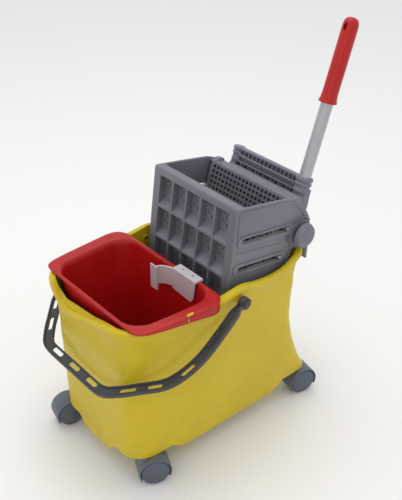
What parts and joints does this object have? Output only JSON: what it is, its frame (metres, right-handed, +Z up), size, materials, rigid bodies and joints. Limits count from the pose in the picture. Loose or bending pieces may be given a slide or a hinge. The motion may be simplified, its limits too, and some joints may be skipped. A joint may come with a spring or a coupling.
{
  "type": "mop bucket with wringer",
  "caption": "Wheeled oblong mop bucket with a lift-out inner bucket, carrying bail, twin-wheel swivel casters and a lever-worked press wringer hung over its rear rim.",
  "frame": {"origin": "centre of the bounding box in plan, on the floor under the wheels", "axes": "+Z up, +Y from the inner bucket towards the wringer and its lever, +X to the right hand of someone facing +Y"},
  "size_m": [0.365, 0.5642, 0.7419],
  "materials": {
    "yellow_plastic": "satin moulded",
    "red_plastic": "satin moulded",
    "grey_plastic": "satin moulded",
    "dark_plastic": "satin moulded",
    "clear_plastic": "milky translucent",
    "caster_plastic": "satin moulded",
    "wheel_plastic": "fine matt",
    "steel": "plain drawn",
    "aluminium": "drawn tube"
  },
  "bodies": {
    "tub": {"tub": "yellow_plastic", "bail_pin_right": "dark_plastic", "bail_pin_left": "dark_plastic"},
    "bail": {"bail_handle": "dark_plastic"},
    "inner_bucket": {"inner_bucket": "red_plastic"},
    "rim_holder": {"rim_holder": "clear_plastic"},
    "caster_front_right": {"caster_hood_front_right": "caster_plastic", "caster_stem_front_right": "steel", "caster_axle_front_right": "steel"},
    "wheel_a_front_right": {"caster_wheel_a_front_right": "wheel_plastic"},
    "wheel_b_front_right": {"caster_wheel_b_front_right": "wheel_plastic"},
    "caster_front_left": {"caster_hood_front_left": "caster_plastic", "caster_stem_front_left": "steel", "caster_axle_front_left": "steel"},
    "wheel_a_front_left": {"caster_wheel_a_front_left": "wheel_plastic"},
    "wheel_b_front_left": {"caster_wheel_b_front_left": "wheel_plastic"},
    "caster_rear_right": {"caster_hood_rear_right": "caster_plastic", "caster_stem_rear_right": "steel", "caster_axle_rear_right": "steel"},
    "wheel_a_rear_right": {"caster_wheel_a_rear_right": "wheel_plastic"},
    "wheel_b_rear_right": {"caster_wheel_b_rear_right": "wheel_plastic"},
    "caster_rear_left": {"caster_hood_rear_left": "caster_plastic", "caster_stem_rear_left": "steel", "caster_axle_rear_left": "steel"},
    "wheel_a_rear_left": {"caster_wheel_a_rear_left": "wheel_plastic"},
    "wheel_b_rear_left": {"caster_wheel_b_rear_left": "wheel_plastic"},
    "wringer": {"wringer_body": "grey_plastic"},
    "lever": {"lever_shaft": "steel", "cam_arm_right": "grey_plastic", "cam_arm_left": "grey_plastic", "hub_cap_right": "grey_plastic", "hub_cap_left": "grey_plastic", "lever_yoke": "grey_plastic", "lever_tube": "aluminium", "lever_grip": "red_plastic"},
    "press": {"press_plate": "grey_plastic", "guide_rod_upper": "steel", "guide_rod_lower": "steel"}
  },
  "joints": [
    {"name": "bail_swing", "type": "hinge", "parent": "tub", "child": "bail", "pos_m": [0, -0.01534, 0.3215], "axis": [-1, 0, 0], "range_deg": [0, 150]},
    {"name": "inner_bucket_lift", "type": "slide", "parent": "tub", "child": "inner_bucket", "axis": [0, 0, 1], "range_m": [0, 0.3]},
    {"name": "rim_holder_lift", "type": "slide", "parent": "inner_bucket", "child": "rim_holder", "axis": [0, 0, 1], "range_m": [0, 0.06]},
    {"name": "swivel_front_right", "type": "hinge", "parent": "tub", "child": "caster_front_right", "pos_m": [0.107, -0.21134, 0.06], "axis": [0, 0, 1], "continuous": true},
    {"name": "spin_a_front_right", "type": "hinge", "parent": "caster_front_right", "child": "wheel_a_front_right", "pos_m": [0.11432, -0.1949, 0.027], "axis": [0.9135, -0.4067, 0], "continuous": true},
    {"name": "spin_b_front_right", "type": "hinge", "parent": "caster_front_right", "child": "wheel_b_front_right", "pos_m": [0.11432, -0.1949, 0.027], "axis": [0.9135, -0.4067, 0], "continuous": true},
    {"name": "swivel_front_left", "type": "hinge", "parent": "tub", "child": "caster_front_left", "pos_m": [-0.107, -0.21134, 0.06], "axis": [0, 0, 1], "continuous": true},
    {"name": "spin_a_front_left", "type": "hinge", "parent": "caster_front_left", "child": "wheel_a_front_left", "pos_m": [-0.11074, -0.22895, 0.027], "axis": [-0.9781, 0.2079, 0], "continuous": true},
    {"name": "spin_b_front_left", "type": "hinge", "parent": "caster_front_left", "child": "wheel_b_front_left", "pos_m": [-0.11074, -0.22895, 0.027], "axis": [-0.9781, 0.2079, 0], "continuous": true},
    {"name": "swivel_rear_right", "type": "hinge", "parent": "tub", "child": "caster_rear_right", "pos_m": [0.107, 0.16166, 0.06], "axis": [0, 0, 1], "continuous": true},
    {"name": "spin_a_rear_right", "type": "hinge", "parent": "caster_rear_right", "child": "wheel_a_rear_right", "pos_m": [0.11074, 0.17927, 0.027], "axis": [0.9781, -0.2079, 0], "continuous": true},
    {"name": "spin_b_rear_right", "type": "hinge", "parent": "caster_rear_right", "child": "wheel_b_rear_right", "pos_m": [0.11074, 0.17927, 0.027], "axis": [0.9781, -0.2079, 0], "continuous": true},
    {"name": "swivel_rear_left", "type": "hinge", "parent": "tub", "child": "caster_rear_left", "pos_m": [-0.107, 0.16166, 0.06], "axis": [0, 0, 1], "continuous": true},
    {"name": "spin_a_rear_left", "type": "hinge", "parent": "caster_rear_left", "child": "wheel_a_rear_left", "pos_m": [-0.11808, 0.17584, 0.027], "axis": [0.788, 0.6157, 0], "continuous": true},
    {"name": "spin_b_rear_left", "type": "hinge", "parent": "caster_rear_left", "child": "wheel_b_rear_left", "pos_m": [-0.11808, 0.17584, 0.027], "axis": [0.788, 0.6157, 0], "continuous": true},
    {"name": "wringer_lift", "type": "slide", "parent": "tub", "child": "wringer", "axis": [0, 0, 1], "range_m": [0, 0.28]},
    {"name": "lever_swing", "type": "hinge", "parent": "wringer", "child": "lever", "pos_m": [0, 0.14756, 0.38163], "axis": [-1, 0, 0], "range_deg": [0, 75], "stiffness_Nm_per_rad": 1.2, "springref_deg": -34.38},
    {"name": "press_slide", "type": "slide", "parent": "wringer", "child": "press", "axis": [0, -0.991, 0.134], "range_m": [0, 0.076]}
  ],
  "couplings": [
    {"joint": "press_slide", "follows": "lever_swing", "m_per_rad": 0.0573}
  ]
}
